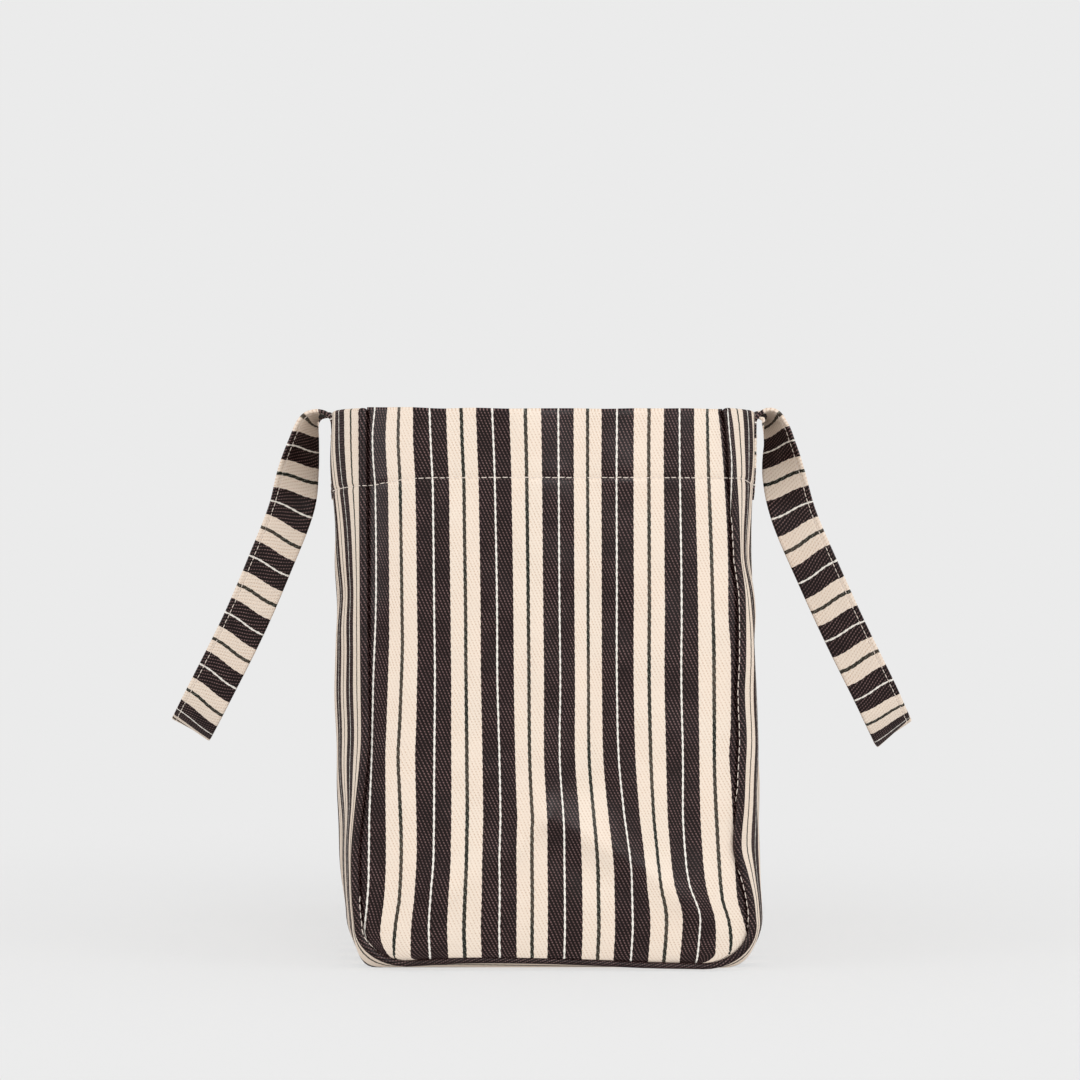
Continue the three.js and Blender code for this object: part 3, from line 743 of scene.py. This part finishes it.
def curve_through(points, t):
    """Points on a centripetal curve through a line of points, at t from 0 to 1."""
    before = 2 * points[0] - points[1]
    after = 2 * points[-1] - points[-2]
    line = np.concatenate([[before], points, [after]])
    place = clamp01(t) * (len(points) - 1)
    k = np.minimum(len(points) - 2, place.astype(int))
    weight = (place - k)[:, None]
    p0, p1, p2, p3 = (line[k + i] for i in range(4))
    d0, d1, d2 = (
        np.sqrt(np.linalg.norm(b - a, axis=1))[:, None] for a, b in ((p0, p1), (p1, p2), (p2, p3))
    )
    first = ((p1 - p0) / d0 - (p2 - p0) / (d0 + d1) + (p2 - p1) / d1) * d1
    second = ((p2 - p1) / d1 - (p3 - p1) / (d1 + d2) + (p3 - p2) / d2) * d1
    cubic = 2 * p1 - 2 * p2 + first + second
    square = -3 * p1 + 3 * p2 - 2 * first - second
    return p1 + first * weight + square * weight ** 2 + cubic * weight ** 3


def handle_frames(side, bend, rows):
    """Along a handle: its centre, the way to its stitched edge, and the way out of its face."""
    t = np.linspace(0, 1, STRAP_STEPS + 1)
    centre = curve_through(rows[:, :3], t)
    turn = np.radians(at(rows[:, 3:], np.arange(len(rows)), t * (len(rows) - 1)))
    nudge = 1e-4
    run = unit(curve_through(rows[:, :3], t + nudge) - curve_through(rows[:, :3], t - nudge))
    way = np.where(t < 0.5, 1, -1)
    lean = math.radians(bend["lean"])
    steady = np.abs(run[:, 1])
    fall_x = side * math.sin(lean) * steady + way * run[:, 0]
    fall_z = -math.cos(lean) * steady + way * run[:, 2]
    over = np.column_stack([-fall_z * side, 0 * t, fall_x * side])
    over = unit(over - run * np.sum(over * run, axis=1)[:, None])
    ahead = np.cross(run, over) * side
    wide = ahead * np.cos(turn) + over * np.sin(turn)
    return centre, wide, np.cross(run, wide)


# The strap's open edge is folded and sewn down this far in, where the stitches pull a groove. Its
# long edges are round but a little blunt, and its ends have round corners.
RIM = 3.2
RIM_GROOVE = dict(depth=0.28, width=0.55)
EDGE_ROUNDING = 1.2
EDGE_BLUNTNESS = 0.06
END_ROUNDING = 2.6


def strap_outline():
    """The strap's section: along its width and its thickness, from its stitched edge round."""
    half_width = STRAP_WIDTH / 2
    half = STRAP_THICKNESS / 2
    places = half_width - np.array([0, 0.12, 0.4, 0.85, 1.4, 2.2, 2.8, 3.2, 3.6, 4.2, 5.5])
    inner = np.linspace(half_width - 7.5, -half_width + 2.6, 8)
    tip = -half_width + np.array([1.5, 0.8, 0.35, 0.1])
    wide = np.concatenate([places, inner, tip])
    from_edge = half_width - np.abs(wide)
    short = clamp01(1 - (from_edge + EDGE_BLUNTNESS) / EDGE_ROUNDING)
    groove = RIM_GROOVE["depth"] * bell(wide - (half_width - RIM), RIM_GROOVE["width"])
    thick = half * np.sqrt(clamp01(1 - short ** 2)) - groove
    upper = np.column_stack([wide, thick])
    lower = upper[::-1] * [1, -1]
    return np.concatenate([upper, lower])


def make_handle(design, frames, material):
    stripes = design["stripes"]
    centre, wide, thick = frames
    w, h = strap_outline().T
    length = path_lengths(centre)
    end = clamp01(1 - np.minimum(length, length[-1] - length) / END_ROUNDING)
    taper = 1 - (1 - np.sqrt(1 - end ** 2)) * END_ROUNDING / (STRAP_WIDTH / 2)
    across = taper[:, None] * w[None, :]
    sections = centre[:, None] + wide[:, None] * across[:, :, None] + thick[:, None] * h[:, None]
    place = read(stripes, "length", "place", length)[:, None]
    slant = read(stripes, "length", "slant", length)[:, None]
    u = place + slant * w + STRIPE_BOW * np.sin(math.pi * w / (STRAP_WIDTH / 2))
    v = np.broadcast_to(w * design["side"], u.shape)
    return loft_piece(design["name"] + "_cloth", sections, u, v, material)


# Stitches. Each is a short thread that dips into the cloth at both ends: how far along it a ring of
# its points lies, the ring's size, and its height over the cloth, both in thread radii.

THREAD_RADIUS = 0.27
THREAD_SIDES = 6
THREAD_RINGS = [(0, 0.6, -0.5), (0.22, 1, 0.55), (0.78, 1, 0.55), (1, 0.6, -0.5)]

# Where in its pitch a stitch starts, the share it takes, and how far it sways off the line
STITCH_START = 0.1
STITCH_SHARE = 0.8
STITCH_SWAY = 0.1
HEM_PITCH = 4
RIB_PITCH = 4.7
STRAP_PITCH = 3.6

# The box of stitches on a handle's end lies this far inside the patch's foot and top
BOX_FOOT = 3
BOX_TOP = 4

# Angles round a rib at which the hem's row crosses it, and at which the row along it lies
RIB_HEM_ANGLES = np.radians(np.linspace(60, 262, 22))
RIB_STITCHES = table(
    "z left right",
    (321, 330, 330), (266, 330, 330), (258, 330, 232), (104, 330, 232), (97, 330, 275),
    (90, 330, 320), (62, 330, 320), (56, 330, 240), (48, 330, 232), (42, 240, 232), (30, 232, 236),
    (20, 232, 320), (12, 250, 330), (4, 330, 330),
)


def stitch_row(line, outward, pitch):
    """A row of stitches along a line on the cloth: points by stitch, ring and side."""
    length = path_lengths(line)
    count = int(length[-1] // pitch)
    first = (np.arange(count) + STITCH_START) * length[-1] / count
    sway = STITCH_SWAY * np.sin(2.4 * np.arange(count))[:, None]
    angle = np.linspace(0, 2 * math.pi, THREAD_SIDES, endpoint=False)
    nudge = 0.2
    rings = []
    for share, size, lift in THREAD_RINGS:
        place = first + share * STITCH_SHARE * pitch
        run = unit(at(line, length, place + nudge) - at(line, length, place - nudge))
        out = unit(at(outward, length, place))
        across = np.cross(run, out)
        centre = at(line, length, place) + out * lift * THREAD_RADIUS + across * sway
        circle = across[:, None] * np.cos(angle)[:, None] + out[:, None] * np.sin(angle)[:, None]
        rings.append(centre[:, None] + THREAD_RADIUS * size * circle)
    return np.stack(rings, axis=1)


def make_stitches(name, rows, material):
    stitches = np.concatenate(rows)
    count, rings, sides = stitches.shape[:3]
    index = np.arange(count * rings * sides).reshape(count, rings, sides)
    faces = index[:, 0].tolist() + index[:, -1].tolist()
    for k in range(rings - 1):
        low, high = index[:, k], index[:, k + 1]
        quads = [low, np.roll(low, -1, axis=1), np.roll(high, -1, axis=1), high]
        faces += np.stack(quads, axis=-1).reshape(-1, 4).tolist()
    return mesh_piece(name, stitches.reshape(-1, 3), faces, material)


def hem_line(grid, dips, towards):
    """The line along the hem's edge on a grid whose rows run that way, and the way out of the cloth
    there, on the side that faces towards."""
    found = []
    for column, dip in zip(grid[:len(HEIGHTS)].transpose(1, 0, 2), dips):
        column = column[np.argsort(column[:, 2])]
        found.append(at(column, column[:, 2], HEM_EDGE - dip + np.array([-1, 0, 1])))
    lower, line, upper = np.stack(found, axis=1)
    normal = unit(np.cross(np.gradient(line, axis=0), lower - upper))
    return line, normal * np.sign(normal @ np.array(towards))[:, None]


def panel_stitches(design, surfaces):
    """The hem's row, as it shows on a panel's outside and inside."""
    rows = []
    for grid, facing in zip(surfaces[:2], (1, -1)):
        dips = panel_dip(design["end"], grid[0, :, 0])
        rows.append(stitch_row(*hem_line(grid, dips, (0, facing * design["end"], 0)), HEM_PITCH))
    return rows


def patch_box(side, facing, distance):
    """The rectangle of stitches that holds a handle's end, on the plane at a distance from WALL."""
    half = STRAP_WIDTH / 2 - RIM
    low, high = PATCH_FOOT + BOX_FOOT, PATCH_TOP - BOX_TOP
    corners = np.array([[-half, low], [half, low], [half, high], [-half, high], [-half, low]])
    y, z = at(corners, range(5), np.linspace(0, 4, 81)).T
    x = side * (read_sides(WALL, side, z) + distance)
    outward = np.tile([side * facing, 0, 0], (len(y), 1))
    return [
        stitch_row(np.column_stack([x, end * PATCH_Y + y, z]), outward, STRAP_PITCH)
        for end in (-1, 1)
    ]


def rib_stitch_line(end):
    """The row of stitches along a rib's inner foot. Where it lies deeper it is out of sight."""
    angle = np.radians(read_sides(RIB_STITCHES, MIDDLE[:, 0], MIDDLE[:, 1]))
    middle = rib_core(end)
    inward = rib_line(end, math.radians(270)) - middle
    ahead = rib_line(end, math.radians(180)) - middle
    outward = -inward * np.sin(angle)[:, None] - ahead * np.cos(angle)[:, None]
    return middle + outward, outward


def rib_hem_stitches(end):
    """The hem's row where it crosses the two ends of a rib."""
    rows = []
    around = np.stack([rib_line(end, angle) for angle in RIB_HEM_ANGLES])
    for side in (-1, 1):
        off = np.abs(MIDDLE[:, 1] - HEM_EDGE + STRIP_HEM_DIP[side]["front"])
        place = np.argmin(np.where(MIDDLE[:, 0] * side < 0, np.inf, off))
        line = around[:, place]
        rows.append(stitch_row(line, unit(line - rib_core(end)[place]), HEM_PITCH))
    return rows


def body_stitches(outside, inside):
    """The hems' rows, the rows along both ribs, and the insides of the boxes on the handles' ends."""
    rows = []
    for side in (-1, 1):
        for grid, facing in ((outside, 1), (inside, -1)):
            from_top = grid.transpose(1, 0, 2)[::-side]
            dips = strip_dip(side, grid[:, 0, 1])
            line, outward = hem_line(from_top, dips, (side * facing, 0, 0))
            clear = np.abs(np.abs(line[:, 1]) - PATCH_Y) > STRAP_WIDTH / 2 + 1
            for low, high in ((-SEAM_Y, -PATCH_Y), (-PATCH_Y, PATCH_Y), (PATCH_Y, SEAM_Y)):
                part = clear & (line[:, 1] > low) & (line[:, 1] < high)
                rows.append(stitch_row(line[part], outward[part], HEM_PITCH))
        rows += patch_box(side, -1, -HEM_CLOTH)
    for end in (-1, 1):
        line, outward = rib_stitch_line(end)
        rows.append(stitch_row(line, outward, RIB_PITCH))
        rows += rib_hem_stitches(end)
    return rows


def handle_stitches(side, frames):
    """The row along the strap's stitched edge, on both faces, and the boxes on its two ends."""
    centre, wide, thick = (part[3:-3] for part in frames)
    rows = patch_box(side, 1, GAP + STRAP_THICKNESS)
    for facing in (-1, 1):
        outward = thick * facing
        line = centre + wide * (STRAP_WIDTH / 2 - RIM) + outward * (STRAP_THICKNESS / 2 - 0.25)
        rows.append(stitch_row(line, outward, STRAP_PITCH))
    return rows


# Materials


class Graph:
    """Adds nodes to a material or world, so that a formula takes few lines."""

    def __init__(self, owner, shader="Principled BSDF"):
        owner.use_nodes = True
        self.owner = owner
        self.tree = owner.node_tree
        self.shader = self.tree.nodes[shader]

    def join(self, value, socket):
        if isinstance(value, bpy.types.NodeSocket):
            self.tree.links.new(value, socket)
        else:
            socket.default_value = value

    def fill(self, node, values):
        for name, value in values.items():
            self.join(value, node.inputs[name])

    def add(self, kind, *inputs, **settings):
        node = self.tree.nodes.new(kind)
        for name, value in settings.items():
            setattr(node, name, value)
        for value, socket in zip(inputs, node.inputs):
            if value is not None:
                self.join(value, socket)
        return node

    def math(self, operation, *inputs):
        return self.add("ShaderNodeMath", *inputs, operation=operation).outputs[0]

    def product(self, value, *factors):
        for factor in factors:
            value = self.math("MULTIPLY", value, factor)
        return value

    def wave(self, place, pitch):
        return self.math("COSINE", self.math("MULTIPLY", place, 2 * math.pi / (pitch * MM)))

    def shift(self, value, by, reach):
        """Moves a value either way by up to half of reach, where by runs from 0 to 1."""
        return self.math("MULTIPLY_ADD", self.math("SUBTRACT", by, 0.5), reach * MM, value)

    def remap(self, value, low, high, to_low=0.0, to_high=1.0):
        node = self.add(
            "ShaderNodeMapRange", value, low, high, to_low, to_high, interpolation_type="SMOOTHSTEP"
        )
        return node.outputs[0]

    def noise(self, place, scale, detail=2.0):
        return self.add("ShaderNodeTexNoise", place, None, scale, detail).outputs[0]

    def stripes(self, place, colours):
        """A colour for each stripe, by the place between two white lines."""
        node = self.add("ShaderNodeValToRGB", place)
        ramp = node.color_ramp
        ramp.interpolation = "CONSTANT"
        half = REPEAT / 2
        ends = [0, WHITE_END / half, BLACK_END / half, CREAM_END / half]
        while len(ramp.elements) < len(ends):
            ramp.elements.new(1.0)
        for element, end, colour in zip(ramp.elements, ends, colours):
            element.position = end
            element.color = (*colour, 1)
        return node.outputs[0]

    def mix(self, factor, first, second):
        node = self.add("ShaderNodeMix", data_type="RGBA")
        self.join(factor, node.inputs[0])
        self.join(first, node.inputs[6])
        self.join(second, node.inputs[7])
        return node.outputs[2]


# Twill: across the stripes its diagonals lie this far apart, and lean over by TWILL_LEAN for each
# millimetre along them. The yarns cross every YARN_PITCH along the stripes.
TWILL_PITCH = 2.15
TWILL_LEAN = 0.45
YARN_PITCH = 1.5

# Linear colours of the ground and of the twill's raised diagonals: white, black, cream, thin dark. On
# the black and thin dark stripes the diagonals' colour is partly the lighter yarn and partly a
# painted highlight (glint).
GROUND = [(0.86, 0.82, 0.75), (0.006, 0.0015, 0.0012), (0.825, 0.71, 0.6), (0.006, 0.008, 0.005)]
DIAGONAL_AND_GLINT = [(0.60, 0.54, 0.47), (0.20, 0.12, 0.115), (0.64, 0.48, 0.36), (0.14, 0.15, 0.12)]
THREAD = (0.80, 0.70, 0.62)
WARM_TINT = (0.95, 0.62, 0.46, 1)

# How far the stripes wander, and how far the diagonals shift their edges
WANDER = 0.3
EDGE_SHIFT = 0.22

# The weave's relief, its roughness between the diagonals and on them, and its faint sheen
CLOTH_BUMP = {"Strength": 0.6, "Distance": 0.18 * MM}
CLOTH_ROUGHNESS = (0.72, 0.5)
CLOTH_SHEEN = {"IOR": 1.01, "Coat Weight": 0.12, "Coat IOR": 2.2, "Coat Roughness": 0.36}


def striped_cloth():
    graph = Graph(bpy.data.materials.new("striped_twill"))
    cloth = graph.add("ShaderNodeUVMap", uv_map="cloth").outputs[0]
    parts = graph.add("ShaderNodeSeparateXYZ", cloth).outputs
    v = parts[1]
    half = REPEAT / 2
    u = graph.shift(parts[0], graph.noise(cloth, 220.0), WANDER)
    lean = graph.math("MULTIPLY_ADD", v, TWILL_LEAN, u)
    line = graph.remap(graph.wave(lean, TWILL_PITCH), 0.0, 1.0)
    yarn = graph.remap(graph.wave(v, YARN_PITCH), -0.8, 0.8)
    step = graph.shift(u, line, EDGE_SHIFT)
    place = graph.math("DIVIDE", graph.math("PINGPONG", step, half * MM), half * MM)
    yarn_glint = graph.remap(yarn, 0.0, 1.0, 0.1, 1.0)
    fibre = graph.remap(graph.noise(cloth, 900.0, 3.0), 0.35, 0.65, 0.6, 1.25)
    # Painted sheen: the glints are brighter in some patches and duller in others, as if light fell on
    # them unevenly
    painted_sheen_patches = graph.remap(graph.noise(cloth, 60.0), 0.3, 0.7, 0.55, 1.15)
    # The diagonals' mask: on the cream it darkens the weave, and on the dark stripes it paints a
    # highlight on the yarn
    weave_and_painted_glint = graph.product(line, yarn_glint, fibre, painted_sheen_patches)
    colour = graph.mix(weave_and_painted_glint, graph.stripes(place, GROUND), graph.stripes(place, DIAGONAL_AND_GLINT))
    tint = graph.remap(graph.noise(cloth, 25.0), 0.3, 0.7, 0.0, 0.12)
    warm = graph.mix(0.5, colour, WARM_TINT)
    past_black = graph.remap(place, BLACK_END / half, BLACK_END / half + 0.01)
    colour = graph.mix(graph.product(tint, past_black), colour, warm)
    bump = graph.add("ShaderNodeBump")
    height = graph.math("ADD", line, graph.product(yarn, 0.5))
    graph.fill(bump, {"Height": height, **CLOTH_BUMP})
    roughness = graph.remap(line, 0.0, 1.0, *CLOTH_ROUGHNESS)
    made = {"Base Color": colour, "Normal": bump.outputs[0], "Roughness": roughness}
    graph.fill(graph.shader, {**made, **CLOTH_SHEEN})
    return graph.owner


def thread_material():
    graph = Graph(bpy.data.materials.new("sewing_thread"))
    place = graph.add("ShaderNodeTexCoord").outputs["Object"]
    twist = graph.remap(graph.noise(place, 2500.0), 0.35, 0.65, 0.0, 0.35)
    colour = graph.mix(twist, (*THREAD, 1), (*[0.7 * part for part in THREAD], 1))
    graph.fill(graph.shader, {"Base Color": colour, "Roughness": 0.7, "Specular IOR Level": 0.2})
    return graph.owner


def floor_material():
    """A pale floor that takes faint shadows and fades into the backdrop away from the bag."""
    graph = Graph(bpy.data.materials.new("pale_floor"))
    shade = (*[FLOOR_SHADE] * 3, 1)
    graph.fill(graph.shader, {"Base Color": shade, "Roughness": 1.0, "Specular IOR Level": 0.0})
    place = graph.add("ShaderNodeTexCoord").outputs["Object"]
    distance = graph.add("ShaderNodeVectorMath", place, operation="LENGTH").outputs["Value"]
    fade = graph.remap(distance, FLOOR_FADE[0], FLOOR_FADE[1], FLOOR_CLEAR, 1.0)
    clear = graph.add("ShaderNodeBsdfTransparent").outputs[0]
    mixed = graph.add("ShaderNodeMixShader", fade, graph.shader.outputs[0], clear).outputs[0]
    graph.fill(graph.tree.nodes["Material Output"], {"Surface": mixed})
    return graph.owner


def backdrop_material():
    graph = Graph(bpy.data.materials.new("pale_backdrop"))
    glow = graph.add("ShaderNodeEmission", (*[BACKDROP_SHADE] * 3, 1), 1.0).outputs[0]
    graph.fill(graph.tree.nodes["Material Output"], {"Surface": glow})
    return graph.owner


# Stage, light and camera, in metres. The floor is clear by FLOOR_CLEAR at the middle, and all clear
# at the outer of the two distances in FLOOR_FADE. The ambient light is weaker from below.

FLOOR_SHADE = 0.87
FLOOR_CLEAR = 0.75
FLOOR_FADE = (0.25, 0.9)
BACKDROP_SHADE = 0.831
BACKDROP_RADIUS = 30
AMBIENT = 0.76
AMBIENT_BELOW = 0.6
HORIZON = (-0.25, 0.1)
LIGHT_AIM = (0, 0, 0.15)
LIGHTS = [
    dict(name="key", place=(0.7, -2.9, 1.0), size=0.9, power=21),
    dict(name="left", place=(-3.0, -1.8, 1.0), size=1.8, power=34),
    dict(name="right", place=(3.0, -1.8, 1.2), size=1.8, power=34),
]
CAMERA_PLACE = (-0.004, -2.19, 0.2457)
CAMERA_LENS = 116.96


def add_camera():
    camera = add_object("camera", bpy.data.cameras.new("camera"))
    camera.data.lens = CAMERA_LENS
    camera.location = CAMERA_PLACE
    camera.rotation_euler = (math.radians(90), 0, 0)
    bpy.context.scene.camera = camera


def add_softbox(name, place, size, power):
    light = bpy.data.lights.new(name, "AREA")
    light.size = size
    light.energy = power
    lamp = add_object(name, light)
    lamp.location = place
    direction = lamp.location - Vector(LIGHT_AIM)
    lamp.rotation_euler = direction.to_track_quat("Z", "Y").to_euler()


def stage_piece(name, shape, material, **sizes):
    mesh = bpy.data.meshes.new(name)
    work = bmesh.new()
    shape(work, **sizes)
    work.to_mesh(mesh)
    work.free()
    mesh.materials.append(material)
    piece = add_object(name, mesh)
    return piece


def add_stage():
    """A floor, and a far dome that only the camera sees, so that it lights nothing."""
    stage_piece(
        "floor", bmesh.ops.create_circle, floor_material(),
        cap_ends=True, segments=96, radius=FLOOR_FADE[1] + 0.1,
    )
    dome = stage_piece(
        "backdrop", bmesh.ops.create_icosphere, backdrop_material(),
        subdivisions=3, radius=BACKDROP_RADIUS,
    )
    for ray in ("diffuse", "glossy", "transmission", "shadow"):
        setattr(dome, "visible_" + ray, False)


def add_ambient_light():
    world = bpy.data.worlds.new("studio")
    graph = Graph(world, "Background")
    way = graph.add("ShaderNodeTexCoord").outputs["Generated"]
    up = graph.add("ShaderNodeSeparateXYZ", way).outputs["Z"]
    strength = graph.add("ShaderNodeMapRange", up, *HORIZON, AMBIENT_BELOW, AMBIENT).outputs[0]
    graph.fill(graph.shader, {"Color": (1, 1, 1, 1), "Strength": strength})
    bpy.context.scene.world = world


def add_sheet(node, piece, stitches):
    """Puts a piece of cloth and its stitches on the bag, in the place of a CAD node."""
    for part in (piece, stitches):
        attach(part, "root")
    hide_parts(node)


PANELS = {
    "end_panel_front": dict(
        name="front_panel", end=-1, swell=FRONT_SWELL, creases=FRONT_CREASES, waves=FRONT_WAVES,
    ),
    "end_panel_back": dict(
        name="back_panel", end=1, swell=BACK_SWELL, creases=BACK_CREASES, waves=BACK_WAVES,
    ),
}
HANDLES = {
    "handle_left": dict(
        name="left_strap", side=-1, leg=LEFT_LEG, bend=LEFT_BEND, stripes=LEFT_STRIPES,
    ),
    "handle_right": dict(
        name="right_strap", side=1, leg=RIGHT_LEG, bend=RIGHT_BEND, stripes=RIGHT_STRIPES,
    ),
}

add_camera()
add_stage()
add_ambient_light()
for light in LIGHTS:
    add_softbox(**light)
bpy.context.scene.view_settings.view_transform = "Standard"

cloth = striped_cloth()
thread = thread_material()
body = body_surfaces()
add_sheet(
    "body_strip",
    make_body(*body, cloth),
    make_stitches("body_stitches", body_stitches(*body), thread),
)
for node, design in PANELS.items():
    surfaces = panel_surfaces(design)
    add_sheet(
        node,
        make_panel(design, surfaces, cloth),
        make_stitches(design["name"] + "_stitches", panel_stitches(design, surfaces), thread),
    )
for node, design in HANDLES.items():
    side, bend = design["side"], design["bend"]
    frames = handle_frames(side, bend, handle_rows(side, design["leg"], bend))
    add_sheet(
        node,
        make_handle(design, frames, cloth),
        make_stitches(design["name"] + "_stitches", handle_stitches(side, frames), thread),
    )
